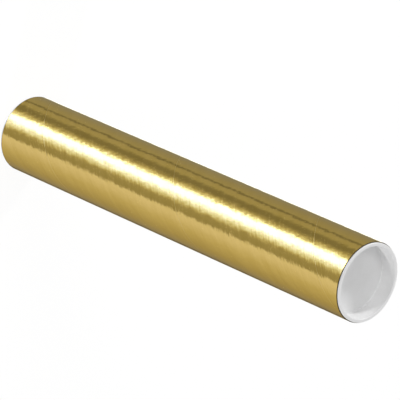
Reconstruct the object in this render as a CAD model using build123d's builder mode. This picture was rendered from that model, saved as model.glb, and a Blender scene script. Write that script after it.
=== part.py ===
from build123d import *
from math import pi, radians, tan
import os

# Cardboard mailing tube with a recessed plastic plug pushed into each end.
# Sizes are in millimetres. The tube stands on end: +Z runs up its axis, and the
# origin is the centre of the ring that the lower plug stands on.

# Tube: spiral-wound paperboard, its plies glued into one piece
usable_length = 304.8        # clear length between the two plugs
bore_diameter = 50.8
tube_wall = 1.6

# Spiral seam: a fine V winds up the tube where the outer ply's two edges meet
winding_angle = 52.3         # degrees between the seam and the tube's axis
seam_base_angle = 158.6      # degrees round from +X where it meets the lower cut end
seam_width = 0.5
seam_depth = 0.15
seam_overrun = 4.0           # how far the seam's cutter runs past each cut end

# Plug: a shallow cup whose flange stops it on the tube's cut end
plug_depth = 11.1            # from the flange's underside to the closed end
flange_thickness = 1.2
flange_inset = 0.5           # how far the flange's edge stays inside the tube's outside
skirt_wall = 0.8
floor_thickness = 1.0
draft_angle = 1.0            # degrees, so that the cup leaves its mould
lip_chamfer = 0.35           # both edges of the flange's face
floor_chamfer = 0.8          # inside corner between the skirt and the floor
lead_in_chamfer = 0.7        # outside corner that enters the tube first

# Plug's fit in the bore
skirt_clearance = 0.3        # radial gap beside the plain skirt
bead_clearance = 0.08        # radial gap at the crest of the beads that hold the plug
bead_half_height = 0.9       # at the bead's root, which is halfway through the wall
first_bead = 3.0             # from the flange's underside to the first bead
bead_spacing = 4.2

bore_radius = bore_diameter / 2
outer_radius = bore_radius + tube_wall
tube_length = usable_length + 2 * plug_depth
tube_base = flange_thickness
tube_top = tube_base + tube_length
mid_height = (tube_base + tube_top) / 2

seam_pitch = 2 * pi * outer_radius / tan(radians(winding_angle))
seam_start_angle = seam_base_angle - 360 * seam_overrun / seam_pitch

flange_radius = outer_radius - flange_inset
skirt_radius = bore_radius - skirt_clearance
mouth_radius = skirt_radius - skirt_wall
taper = tan(radians(draft_angle))
floor_top = floor_thickness - plug_depth
bead_root = skirt_radius - skirt_wall / 2
bead_crest = bore_radius - bead_clearance
bead_heights = (-first_bead, -first_bead - bead_spacing)


with BuildPart() as tube:
    with BuildSketch(Plane.XY.offset(tube_base)):
        Circle(outer_radius)
        Circle(bore_radius, mode=Mode.SUBTRACT)
    extrude(amount=tube_length)
    with BuildLine(Plane.XY.offset(tube_base - seam_overrun)) as turns:
        Helix(seam_pitch, tube_length + 2 * seam_overrun, outer_radius)
    seam = turns.line.rotate(Axis.Z, seam_start_angle)
    outwards = Vector(1, 0, 0).rotate(Axis.Z, seam_start_angle)
    with BuildSketch(Plane(seam @ 0, x_dir=outwards, z_dir=seam % 0)):
        with BuildLine():
            Polyline(
                (-seam_depth, 0),
                (seam_depth, seam_width),
                (seam_depth, -seam_width),
                close=True,
            )
        make_face()
    sweep(path=seam, is_frenet=True, mode=Mode.SUBTRACT)


# The plug's half section stands on the tube's cut end. Its y is 0 at the flange's
# underside, and it is turned about the tube's axis.
with BuildPart() as top_plug:
    with BuildSketch(Plane.XZ.shift_origin((0, 0, tube_top))) as section:
        with BuildLine():
            Polyline(
                (0, -plug_depth),
                (skirt_radius - plug_depth * taper, -plug_depth),
                (skirt_radius, 0),
                (flange_radius, 0),
                (flange_radius, flange_thickness),
                (mouth_radius + flange_thickness * taper, flange_thickness),
                (mouth_radius + floor_top * taper, floor_top),
                (0, floor_top),
                close=True,
            )
        make_face()
        chamfer(section.vertices().group_by(Axis.Y)[-1], lip_chamfer)
        chamfer(section.vertices().group_by(Axis.Y)[1].sort_by(Axis.X)[-1], floor_chamfer)
        chamfer(section.vertices().group_by(Axis.Y)[0].sort_by(Axis.X)[-1], lead_in_chamfer)
        for height in bead_heights:
            with BuildLine():
                Polyline(
                    (bead_root, height - bead_half_height),
                    (bead_crest, height),
                    (bead_root, height + bead_half_height),
                    close=True,
                )
            make_face()
    revolve(axis=Axis.Z)


# The lower plug is the same moulding, turned over
with BuildPart() as bottom_plug:
    mirror(top_plug.part, about=Plane.XY.offset(mid_height))


os.makedirs("parts", exist_ok=True)

tube.part.label = "tube"
export_step(tube.part, "parts/tube.step")

top_plug.part.label = "top_plug"
export_step(top_plug.part, "parts/top_plug.step")

bottom_plug.part.label = "bottom_plug"
export_step(bottom_plug.part, "parts/bottom_plug.step")
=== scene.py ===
from math import atan2, cos, pi, radians, sin, tan, tau

import bmesh
import bpy
from mathutils import Matrix, Quaternion, Vector


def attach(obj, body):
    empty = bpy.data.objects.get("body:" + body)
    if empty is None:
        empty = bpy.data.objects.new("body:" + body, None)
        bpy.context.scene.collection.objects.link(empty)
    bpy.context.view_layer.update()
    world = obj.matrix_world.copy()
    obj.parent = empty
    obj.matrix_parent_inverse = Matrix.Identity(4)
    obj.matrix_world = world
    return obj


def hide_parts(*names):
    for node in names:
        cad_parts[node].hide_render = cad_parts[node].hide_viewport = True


# Cardboard mailing tube with a metallic foil face and a white plug pushed into each end.
# It stands on end, and the rolled camera lays it across the picture.

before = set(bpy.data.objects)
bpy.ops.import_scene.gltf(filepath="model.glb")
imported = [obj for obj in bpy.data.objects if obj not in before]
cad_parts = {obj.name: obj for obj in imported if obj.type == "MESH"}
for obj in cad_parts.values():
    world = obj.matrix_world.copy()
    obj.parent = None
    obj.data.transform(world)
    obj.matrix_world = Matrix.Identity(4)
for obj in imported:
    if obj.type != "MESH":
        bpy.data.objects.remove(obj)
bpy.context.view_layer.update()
scene = bpy.context.scene
mm = 0.001


# Helpers that the pieces and materials share

def addMaterial(name):
    made = bpy.data.materials.new(name)
    made.use_nodes = True
    made.node_tree.nodes.clear()
    return made, made.node_tree


def addNode(tree, kind, **values):
    node = tree.nodes.new(kind)
    for key, value in values.items():
        setattr(node, key, value)
    return node


def setInputs(node, **values):   # an underscore in a key stands for the space in a socket's name
    for key, value in values.items():
        node.inputs[key.replace("_", " ")].default_value = value
    return node


def feed(tree, socket, value):   # a link from another node, or a plain number or colour
    if isinstance(value, bpy.types.NodeSocket):
        tree.links.new(value, socket)
    elif socket.type == "RGBA":
        socket.default_value = (*value, 1)
    else:
        socket.default_value = value


def addMath(tree, operation, *values, clamp=False):
    node = addNode(tree, "ShaderNodeMath", operation=operation, use_clamp=clamp)
    for socket, value in zip(node.inputs, values):
        feed(tree, socket, value)
    return node.outputs[0]


def addRamp(tree, factor, stops):   # each stop is a place and a colour, or a place and one grey level
    node = addNode(tree, "ShaderNodeValToRGB")
    elements = node.color_ramp.elements
    while len(elements) < len(stops):
        elements.new(1.0)
    for element, (position, colour) in zip(elements, stops):
        element.position = position
        element.color = (*colour, 1) if hasattr(colour, "__len__") else (colour, colour, colour, 1)
    tree.links.new(factor, node.inputs["Fac"])
    return node.outputs["Color"]


def addMix(tree, factor, first, second, blend="MIX"):
    node = addNode(tree, "ShaderNodeMix", data_type="RGBA", blend_type=blend)
    feed(tree, node.inputs[0], factor)
    colours = [socket for socket in node.inputs if socket.type == "RGBA"]
    for socket, value in zip(colours, (first, second)):
        feed(tree, socket, value)
    return next(socket for socket in node.outputs if socket.type == "RGBA")


def addBump(tree, height, distance, normal=None):
    node = setInputs(addNode(tree, "ShaderNodeBump"), Distance=distance)
    tree.links.new(height, node.inputs["Height"])
    if normal:
        tree.links.new(normal, node.inputs["Normal"])
    return node.outputs[0]


def objectNoise(tree, size, detail=1.0):
    mapping = setInputs(addNode(tree, "ShaderNodeMapping"), Scale=(1 / size, 1 / size, 1 / size))
    tree.links.new(addNode(tree, "ShaderNodeTexCoord").outputs["Object"], mapping.inputs[0])
    grain = setInputs(addNode(tree, "ShaderNodeTexNoise"), Scale=1.0, Detail=detail)
    tree.links.new(mapping.outputs[0], grain.inputs["Vector"])
    return grain.outputs["Fac"]


def stripNoise(tree, width, length, shift):   # grain drawn out along the wound strip
    mapping = addNode(tree, "ShaderNodeMapping")
    setInputs(mapping, Scale=(1 / width, 1 / length, 1), Location=(shift, shift, 0))
    tree.links.new(addNode(tree, "ShaderNodeUVMap", uv_map="strip").outputs[0], mapping.inputs[0])
    grain = setInputs(addNode(tree, "ShaderNodeTexNoise", noise_dimensions="2D"), Scale=1.0)
    tree.links.new(mapping.outputs[0], grain.inputs["Vector"])
    return grain.outputs["Fac"]


def seamLine(tree, stripWidth, lineWidth, blur=0.1):   # 1 where the strip's edges meet, 0 elsewhere
    across = addNode(tree, "ShaderNodeSeparateXYZ")
    tree.links.new(addNode(tree, "ShaderNodeUVMap", uv_map="strip").outputs[0], across.inputs[0])
    away = addMath(tree, "PINGPONG", across.outputs["X"], stripWidth / 2)
    near, far = lineWidth * (0.5 - blur), lineWidth * (0.5 + blur)
    line = addNode(tree, "ShaderNodeMapRange")
    setInputs(line, From_Min=near, From_Max=far, To_Min=1.0, To_Max=0.0)
    tree.links.new(away, line.inputs["Value"])
    return line.outputs[0]


def addSurface(tree, **values):
    shader = setInputs(addNode(tree, "ShaderNodeBsdfPrincipled"), **values)
    tree.links.new(shader.outputs[0], addNode(tree, "ShaderNodeOutputMaterial").inputs[0])
    return shader


def mixShaders(tree, factor, first, second, output):
    mix = addNode(tree, "ShaderNodeMixShader")
    for socket, value in zip(mix.inputs, (factor, first.outputs[0], second.outputs[0])):
        tree.links.new(value, socket)
    tree.links.new(mix.outputs[0], output.inputs[0])


def lookedAt(tree):   # 1 for what the camera sees, straight or by mirror or glass
    rays = addNode(tree, "ShaderNodeLightPath").outputs
    seen = addMath(tree, "ADD", rays["Is Camera Ray"], rays["Is Glossy Ray"])
    return addMath(tree, "ADD", seen, rays["Is Transmission Ray"], clamp=True)


def finishPiece(name, bm, materials, body, slotName, *nodes):
    mesh = bpy.data.meshes.new(name)
    bm.to_mesh(mesh)
    bm.free()
    for material in materials:
        mesh.materials.append(material)
    piece = bpy.data.objects.new(name, mesh)
    scene.collection.objects.link(piece)
    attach(piece, body)
    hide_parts(*nodes)
    return piece


def vertsOf(geometry):
    return [item for item in geometry if isinstance(item, bmesh.types.BMVert)]


def facesOf(geometry):
    return [item for item in geometry if isinstance(item, bmesh.types.BMFace)]


# Camera, where the photograph was taken from

cameraView = {
    "location": (-0.00497, -1.58001, 1.59221),
    "direction": (-0.0000823, 0.74346, -0.66878),
    "roll": 113.745,
    "lens": 289.27,
}

cameraData = bpy.data.cameras.new("camera")
cameraData.lens = cameraView["lens"]
camera = bpy.data.objects.new("camera", cameraData)
scene.collection.objects.link(camera)
camera.rotation_mode = "QUATERNION"
camera.location = cameraView["location"]
level = Vector(cameraView["direction"]).to_track_quat("-Z", "Y")
camera.rotation_quaternion = level @ Quaternion((0, 0, 1), radians(cameraView["roll"]))
scene.camera = camera
scene.view_settings.view_transform = "Standard"
print("camera placed")


# Studio: a pale floor, soft lamps, and a sky whose lower half holds the strips that the foil mirrors

studio = {
    "floorSize": 24.0,
    "floorDrop": 0.1 * mm,
    "floorColour": (0.95, 0.95, 0.95),
    "floorClear": 0.9,   # how far the camera sees through the floor to the white sky
    "skySeen": 1.02,     # just over white, to make up for the floor's share
    "skyLevel": 0.445,   # the sky as a lamp
    "horizonFade": 0.12,
    "stripTop": 8.0,     # the ramp holds colours up to 1, so the strips are divided by this
    "aimHeight": 0.33,   # the lamps face this point on the tube's axis
}

# azimuth in degrees round from +X, then the red, green and blue of the light from there
strips = (
    (-180, (0.42, 0.42, 0.32)), (-166, (0.45, 0.45, 0.33)), (-158, (0.27, 0.27, 0.20)),
    (-147, (0.26, 0.26, 0.19)), (-138, (0.43, 0.43, 0.325)), (-131, (0.84, 0.89, 0.72)),
    (-126, (1.1, 1.3, 1.92)), (-120.5, (4.5, 5.0, 5.9)), (-105.5, (4.5, 5.0, 5.9)),
    (-99, (1.4, 1.75, 3.5)), (-91, (1.07, 1.3, 1.7)), (-83.5, (0.68, 0.71, 0.57)),
    (-77, (0.42, 0.42, 0.31)), (-57.5, (0.37, 0.37, 0.265)), (-54.8, (0.85, 0.88, 0.88)),
    (-45, (0.85, 0.87, 0.89)), (-15, (0.65, 0.64, 0.475)), (20, (0.48, 0.45, 0.275)),
    (50, (0.35, 0.32, 0.217)), (62, (0.22, 0.20, 0.132)), (72, (0.11, 0.09, 0.048)),
    (78, (0.20, 0.17, 0.10)), (86, (1.2, 1.02, 0.55)), (90, (2.7, 2.45, 1.7)),
    (99, (2.3, 2.4, 2.2)), (104, (0.6, 0.6, 0.45)), (109, (0.31, 0.30, 0.222)),
    (119, (0.29, 0.28, 0.206)), (170.5, (0.41, 0.41, 0.305)), (173.5, (0.22, 0.22, 0.164)),
    (178.5, (0.22, 0.22, 0.162)), (180, (0.42, 0.42, 0.32)),
)

# azimuth and elevation in degrees, distance and size in metres, power in watts
lamps = {
    "keyLamp": (-140, 49, 2.4, 0.9, 10.4),
    "sideLamp": (-74, 20, 2.2, 0.6, 6.2),
    "lowLamp": (16, 13.5, 2.2, 0.09, 15.0),
    "backLamp": (162, 16, 2.2, 0.25, 25.0),
}

floorBuild = bmesh.new()
bmesh.ops.create_grid(floorBuild, x_segments=2, y_segments=2, size=studio["floorSize"] / 2)
bmesh.ops.translate(floorBuild, vec=(0, 0, -studio["floorDrop"]), verts=floorBuild.verts[:])
floorMesh = bpy.data.meshes.new("floor")
floorBuild.to_mesh(floorMesh)
floorBuild.free()
floor = bpy.data.objects.new("floor", floorMesh)
scene.collection.objects.link(floor)
floor.visible_glossy = False    # the foil mirrors the strips below, which the floor would hide
floor.visible_shadow = False    # the lamps reach a lower plug that is drawn out below the floor,
floor.visible_diffuse = False   # and so does the sky

paleFloor, tree = addMaterial("paleFloor")
matte = addNode(tree, "ShaderNodeBsdfDiffuse")
feed(tree, matte.inputs["Color"], studio["floorColour"])
clear = addNode(tree, "ShaderNodeBsdfTransparent")
seenThrough = addMath(tree, "MULTIPLY", lookedAt(tree), studio["floorClear"])
mixShaders(tree, seenThrough, matte, clear, addNode(tree, "ShaderNodeOutputMaterial"))
floorMesh.materials.append(paleFloor)

sky = bpy.data.worlds.new("sky")
scene.world = sky
sky.use_nodes = True
tree = sky.node_tree
tree.nodes.clear()
way = addNode(tree, "ShaderNodeSeparateXYZ")
tree.links.new(addNode(tree, "ShaderNodeTexCoord").outputs["Generated"], way.inputs[0])
azimuth = addMath(tree, "ARCTAN2", way.outputs["Y"], way.outputs["X"])
aroundSky = addMath(tree, "MULTIPLY_ADD", azimuth, 1 / tau, 0.5)
stripTop = studio["stripTop"]
stripStops = [((angle + 180) / 360, [part / stripTop for part in colour]) for angle, colour in strips]
stripLight = setInputs(addNode(tree, "ShaderNodeBackground"), Strength=stripTop)
tree.links.new(addRamp(tree, aroundSky, stripStops), stripLight.inputs["Color"])
skyLight = setInputs(addNode(tree, "ShaderNodeBackground"), Color=(1, 1, 1, 1))
below = setInputs(addNode(tree, "ShaderNodeMapRange"), From_Min=0.0, From_Max=-studio["horizonFade"])
tree.links.new(way.outputs["Z"], below.inputs["Value"])
bright = addMath(tree, "MAXIMUM", lookedAt(tree), below.outputs[0])   # below, it is like a lit white floor
skyLevel = studio["skyLevel"]
skyStrength = addMath(tree, "MULTIPLY_ADD", bright, studio["skySeen"] - skyLevel, skyLevel)
tree.links.new(skyStrength, skyLight.inputs["Strength"])
glossy = addNode(tree, "ShaderNodeLightPath").outputs["Is Glossy Ray"]
mirrored = addMath(tree, "MULTIPLY", below.outputs[0], glossy)
mixShaders(tree, mirrored, skyLight, stripLight, addNode(tree, "ShaderNodeOutputWorld"))
sky.cycles.sampling_method = "NONE"   # its light differs by the kind of ray, so only rays find it


def addLamp(name, turn, rise, distance, size, power):
    lamp = bpy.data.lights.new(name, "AREA")
    lamp.shape = "DISK"
    lamp.size = size
    lamp.energy = power
    holder = bpy.data.objects.new(name, lamp)
    scene.collection.objects.link(holder)
    turned, raised = radians(turn), radians(rise)
    away = Vector((cos(turned) * cos(raised), sin(turned) * cos(raised), sin(raised)))
    holder.location = away * distance + Vector((0, 0, studio["aimHeight"]))
    holder.rotation_mode = "QUATERNION"
    holder.rotation_quaternion = away.to_track_quat("Z", "Y")


for lampName, values in lamps.items():
    addLamp(lampName, *values)
print("floor, sky and lamps placed")


# Tube: spiral-wound board with a foil face

tubeBuild = {
    "outerRadius": 27.0 * mm,
    "boreRadius": 25.4 * mm,
    "base": 1.2 * mm,
    "top": 328.2 * mm,
    "windingAngle": 52.3,
    "seamBaseAngle": 158.6,
    "seamHalfWidth": 0.2 * mm,
    "seamShoulder": 0.32 * mm,
    "seamDepth": 0.05 * mm,
    "edgeRound": 0.15 * mm,
    "edgeSteps": 3,
    "bareEdge": 0.15 * mm,
    "columns": 120,
    "rows": 200,
    "mergeDistance": 0.001 * mm,
}


def makeTube(settings):
    outer, bore = settings["outerRadius"], settings["boreRadius"]
    base, top = settings["base"], settings["top"]
    winding = radians(settings["windingAngle"])
    pitch = tau * outer / tan(winding)
    edge = settings["edgeRound"]
    bm = bmesh.new()
    column = bm.verts.layers.float.new("column")   # how far round from the seam a column stands

    def across(width):   # a width across the seam, as an angle round the tube
        return width / cos(winding) / outer

    # a ring whose first column lies in the seam, with a column on each shoulder of the seam
    half, shoulder = across(settings["seamHalfWidth"]), across(settings["seamShoulder"])
    steps = ((half, 1), (shoulder - half, 1), (tau - 2 * shoulder, settings["columns"]),
             (shoulder - half, 1), (half, 1))
    last = bm.verts.new((outer, 0, 0))
    for angle, count in steps:
        spun = bmesh.ops.spin(bm, geom=[last], cent=(0, 0, 0), axis=(0, 0, 1), angle=angle,
                              steps=count, use_duplicate=False)
        last = vertsOf(spun["geom_last"])[0]
    bmesh.ops.remove_doubles(bm, verts=bm.verts[:], dist=settings["mergeDistance"])
    for vert in bm.verts:
        turned = atan2(vert.co.y, vert.co.x) % tau
        vert[column] = turned if tau - turned > half / 2 else 0.0
    seamVerts = [vert for vert in bm.verts if vert[column] < half / 2]
    sunk = (outer - settings["seamDepth"]) / outer
    bmesh.ops.scale(bm, vec=(sunk, sunk, 1), verts=seamVerts)
    foilBase = base + edge + settings["bareEdge"]
    startTurn = radians(settings["seamBaseAngle"]) + tau * (foilBase - base) / pitch
    bmesh.ops.translate(bm, vec=(0, 0, foilBase), verts=bm.verts[:])
    bmesh.ops.rotate(bm, cent=(0, 0, 0), matrix=Matrix.Rotation(startTurn, 3, "Z"), verts=bm.verts[:])

    # the ring turns with the seam as it climbs, and keeps its groove unless it is given a radius
    def extrudeTo(ring, height, material, radius=None):
        rise = height - ring[0].verts[0].co.z
        turn = Matrix.Rotation(tau * rise / pitch, 3, "Z")
        grown = bmesh.ops.extrude_edge_only(bm, edges=ring)["geom"]
        moved = vertsOf(grown)
        bmesh.ops.translate(bm, vec=(0, 0, rise), verts=moved)
        bmesh.ops.rotate(bm, cent=(0, 0, 0), matrix=turn, verts=moved)
        if radius:
            for vert in moved:
                vert.co.xy = vert.co.xy.normalized() * radius
        for face in facesOf(grown):
            face.material_index = material
            face.smooth = True
        there = set(moved)
        lines = dict.fromkeys(line for vert in moved for line in vert.link_edges)
        return [line for line in lines if there.issuperset(line.verts)]

    foil, board, inside = 0, 1, 2
    rows = settings["rows"]
    foilTop = top - edge - settings["bareEdge"]
    firstRing = bm.edges[:]
    ring = firstRing
    for row in range(1, rows + 1):
        ring = extrudeTo(ring, foilBase + (foilTop - foilBase) * row / rows, foil)
    edgeSteps = settings["edgeSteps"]
    leans = [step * pi / 2 / edgeSteps for step in range(edgeSteps + 1)]   # round the rounded edge
    for lean in leans:
        ring = extrudeTo(ring, top - edge + edge * sin(lean), board, outer - edge + edge * cos(lean))
    ring = extrudeTo(ring, top, board, bore)
    for row in range(1, rows + 1):
        ring = extrudeTo(ring, top + (base - top) * row / rows, inside, bore)
    for lean in reversed(leans):
        ring = extrudeTo(ring, base + edge - edge * sin(lean), board, outer - edge + edge * cos(lean))
    closed = bmesh.ops.bridge_loops(bm, edges=ring + firstRing)
    for face in closed["faces"]:
        face.material_index = board
        face.smooth = True
    bmesh.ops.recalc_face_normals(bm, faces=bm.faces[:])

    # the wound strip's own coordinates: across it, and along it
    strip = bm.loops.layers.uv.new("strip")
    for face in bm.faces:
        angles = [loop.vert[column] for loop in face.loops]
        wraps = max(angles) - min(angles) > pi
        for loop, angle in zip(face.loops, angles):
            arc = outer * (angle + tau if wraps and angle < pi else angle)
            loop[strip].uv = (arc * cos(winding), loop.vert.co.z / cos(winding) + arc * sin(winding))
    return bm


stripWidth = tau * tubeBuild["outerRadius"] * cos(radians(tubeBuild["windingAngle"]))

# a streak's width, its length along the strip, and a shift that keeps patterns apart
foilLook = {
    "gold": ((0.35, (0.74, 0.52, 0.163)), (0.65, (0.77, 0.545, 0.18))),
    "roughness": ((0.3, 0.07), (0.7, 0.11)),
    "peelSize": 4.8 * mm,
    "peelHeight": 0.165 * mm,
    "broadStreak": (6 * mm, 60 * mm, 11.7),
    "broadHeight": 0.08 * mm,
    "fineStreak": (1.0 * mm, 34 * mm, 3.1),
    "fineHeight": 0.055 * mm,
    "hairline": (0.45 * mm, 26 * mm, 7.9),
    "hairRoughness": ((0.0, 0.0), (0.63, 0.0), (0.70, 0.16)),
    "seamWidth": 0.14 * mm,
    "seamColour": (0.78, 0.57, 0.25),
    "seamRoughness": (0.32, 0.32, 0.32),
}

foilFace, tree = addMaterial("foilFace")
foilShader = addSurface(tree, Metallic=1.0)
fineStreaks = stripNoise(tree, *foilLook["fineStreak"])
broadStreaks = stripNoise(tree, *foilLook["broadStreak"])
seam = seamLine(tree, stripWidth, foilLook["seamWidth"])
gold = addMix(tree, seam, addRamp(tree, broadStreaks, foilLook["gold"]), foilLook["seamColour"])
tree.links.new(gold, foilShader.inputs["Base Color"])
hairlines = addRamp(tree, stripNoise(tree, *foilLook["hairline"]), foilLook["hairRoughness"])
rubbed = addMath(tree, "ADD", addRamp(tree, fineStreaks, foilLook["roughness"]), hairlines)
gloss = addMix(tree, seam, rubbed, foilLook["seamRoughness"])
tree.links.new(gloss, foilShader.inputs["Roughness"])
bumped = addBump(tree, objectNoise(tree, foilLook["peelSize"]), foilLook["peelHeight"])
bumped = addBump(tree, broadStreaks, foilLook["broadHeight"], bumped)
bumped = addBump(tree, fineStreaks, foilLook["fineHeight"], bumped)
tree.links.new(bumped, foilShader.inputs["Normal"])

boardLook = {
    # kraft plies through the wall, then a near-black band outside the flange's rim: partly the dark cut
    # board, partly painted shade of the gap under the plug's flange
    "plies": ((0.0, (0.34, 0.25, 0.16)), (0.60, (0.31, 0.23, 0.15)), (0.68, (0.075, 0.057, 0.032))),
    "plyWave": 780.0,   # a line every 0.4 mm through the wall
    "plyWander": 1.5,
    "plyLines": ((0.1, (0.6, 0.52, 0.45)), (0.4, (1, 1, 1))),
    "roughness": 0.85,
    "specular": 0.15,
}

boardEdge, tree = addMaterial("boardEdge")
boardShader = addSurface(tree, Roughness=boardLook["roughness"], Specular_IOR_Level=boardLook["specular"])
spot = addNode(tree, "ShaderNodeTexCoord").outputs["Object"]
flat = addNode(tree, "ShaderNodeVectorMath", operation="MULTIPLY")
flat.inputs[1].default_value = (1, 1, 0)
tree.links.new(spot, flat.inputs[0])
radius = addNode(tree, "ShaderNodeVectorMath", operation="LENGTH")
tree.links.new(flat.outputs[0], radius.inputs[0])
through = addNode(tree, "ShaderNodeMapRange")
setInputs(through, From_Min=tubeBuild["boreRadius"], From_Max=tubeBuild["outerRadius"])
tree.links.new(radius.outputs["Value"], through.inputs["Value"])
rings = addNode(tree, "ShaderNodeTexWave", wave_type="RINGS", rings_direction="Z")
setInputs(rings, Scale=boardLook["plyWave"], Distortion=boardLook["plyWander"])
tree.links.new(spot, rings.inputs["Vector"])
# the board's colour by depth through the wall; the outermost band is partly dark board and partly painted
# shade of the gap under the flange
plies = addRamp(tree, through.outputs[0], boardLook["plies"])
plyLines = addRamp(tree, rings.outputs["Fac"], boardLook["plyLines"])
boardColourAndGapShade = addMix(tree, 1.0, plies, plyLines, blend="MULTIPLY")
tree.links.new(boardColourAndGapShade, boardShader.inputs["Base Color"])

boreLook = {
    "kraft": ((0.3, (0.35, 0.245, 0.14)), (0.7, (0.47, 0.34, 0.205))),
    "fibre": (0.5 * mm, 7 * mm, 5.3),
    "fibreHeight": 0.02 * mm,
    "seamWidth": 0.5 * mm,
    "seamColour": (0.20, 0.14, 0.08),
    "roughness": 0.9,
}

kraftBore, tree = addMaterial("kraftBore")
boreShader = addSurface(tree, Roughness=boreLook["roughness"])
fibres = stripNoise(tree, *boreLook["fibre"])
kraft = addRamp(tree, fibres, boreLook["kraft"])
seam = seamLine(tree, stripWidth, boreLook["seamWidth"])
tree.links.new(addMix(tree, seam, kraft, boreLook["seamColour"]), boreShader.inputs["Base Color"])
tree.links.new(addBump(tree, fibres, boreLook["fibreHeight"]), boreShader.inputs["Normal"])

foilTube = finishPiece("foilTube", makeTube(tubeBuild), (foilFace, boardEdge, kraftBore),
                       "tube", "tube_board", "tube")
print("tube made,", len(foilTube.data.polygons), "faces")


# Plugs: one shallow white cup, used at both ends

plugBuild = {
    "flangeRadius": 26.5 * mm,
    "skirtRadius": 25.1 * mm,
    "mouthRadius": 24.3 * mm,
    "depth": 11.1 * mm,
    "flangeThickness": 1.2 * mm,
    "floorThickness": 1.0 * mm,
    "draft": 1.0,
    "beadCrest": 25.32 * mm,
    "beadHeights": (-3.0 * mm, -7.2 * mm),
    "beadHalfHeight": 0.5 * mm,
    "beadRound": 0.2 * mm,
    "lipRound": 0.35 * mm,
    "underRound": 0.1 * mm,
    "floorRound": 0.8 * mm,
    "leadIn": 0.7 * mm,
    "roundSteps": 4,
    "turns": 160,
    "mergeDistance": 0.002 * mm,
}


def makePlug(settings):
    taper = tan(radians(settings["draft"]))
    depth, flange = settings["depth"], settings["flangeThickness"]
    floorTop = settings["floorThickness"] - depth
    skirt, mouth, rim = settings["skirtRadius"], settings["mouthRadius"], settings["flangeRadius"]
    # radius, height above the flange's underside, and how far the corner is rounded
    corners = [(0, -depth, 0), (skirt - depth * taper, -depth, settings["leadIn"])]
    for bead in reversed(settings["beadHeights"]):
        half = settings["beadHalfHeight"]
        corners += [(skirt + (bead - half) * taper, bead - half, 0),
                    (settings["beadCrest"], bead, settings["beadRound"]),
                    (skirt + (bead + half) * taper, bead + half, 0)]
    corners += [(skirt, 0, 0), (rim, 0, settings["underRound"]), (rim, flange, settings["lipRound"]),
                (mouth + flange * taper, flange, settings["lipRound"]),
                (mouth + floorTop * taper, floorTop, settings["floorRound"]), (0, floorTop, 0)]
    bm = bmesh.new()
    verts = [bm.verts.new((radius, 0, height)) for radius, height, cut in corners]
    for first, second in zip(verts, verts[1:]):
        bm.edges.new((first, second))
    for vert, (radius, height, cut) in zip(verts, corners):
        if cut:
            bmesh.ops.bevel(bm, geom=[vert], offset=cut, segments=settings["roundSteps"], profile=0.5,
                            affect="VERTICES", material=-1)
    bmesh.ops.spin(bm, geom=bm.verts[:] + bm.edges[:], cent=(0, 0, 0), axis=(0, 0, 1), angle=tau,
                   steps=settings["turns"], use_merge=True)
    bmesh.ops.remove_doubles(bm, verts=bm.verts[:], dist=settings["mergeDistance"])
    bmesh.ops.recalc_face_normals(bm, faces=bm.faces[:])
    for face in bm.faces:
        face.smooth = True
    return bm


plasticLook = {
    "white": ((0.35, (0.785, 0.785, 0.785)), (0.65, (0.81, 0.81, 0.812))),
    "roughness": ((0.3, 0.27), (0.7, 0.36)),
    "cloudSize": 9 * mm,
    "cloudHeight": 0.12 * mm,
    "grainSize": 0.6 * mm,
    "grainDetail": 2.0,
    "grainHeight": 0.006 * mm,
}

plugPlastic, tree = addMaterial("plugPlastic")
plasticShader = addSurface(tree)
cloud = objectNoise(tree, plasticLook["cloudSize"])
grain = objectNoise(tree, plasticLook["grainSize"], detail=plasticLook["grainDetail"])
tree.links.new(addRamp(tree, cloud, plasticLook["white"]), plasticShader.inputs["Base Color"])
tree.links.new(addRamp(tree, grain, plasticLook["roughness"]), plasticShader.inputs["Roughness"])
bumped = addBump(tree, cloud, plasticLook["cloudHeight"])
bumped = addBump(tree, grain, plasticLook["grainHeight"], bumped)
tree.links.new(bumped, plasticShader.inputs["Normal"])

topShape = makePlug(plugBuild)
bmesh.ops.translate(topShape, vec=(0, 0, tubeBuild["top"]), verts=topShape.verts[:])
topCup = finishPiece("topCup", topShape, (plugPlastic,), "top_plug", "plug_plastic", "top_plug")
bottomShape = makePlug(plugBuild)
halfTurn = Matrix.Rotation(pi, 3, "X")
bmesh.ops.rotate(bottomShape, cent=(0, 0, 0), matrix=halfTurn, verts=bottomShape.verts[:])
bmesh.ops.translate(bottomShape, vec=(0, 0, tubeBuild["base"]), verts=bottomShape.verts[:])
finishPiece("bottomCup", bottomShape, (plugPlastic,), "bottom_plug", "plug_plastic", "bottom_plug")
print("plugs made,", len(topCup.data.polygons), "faces each")
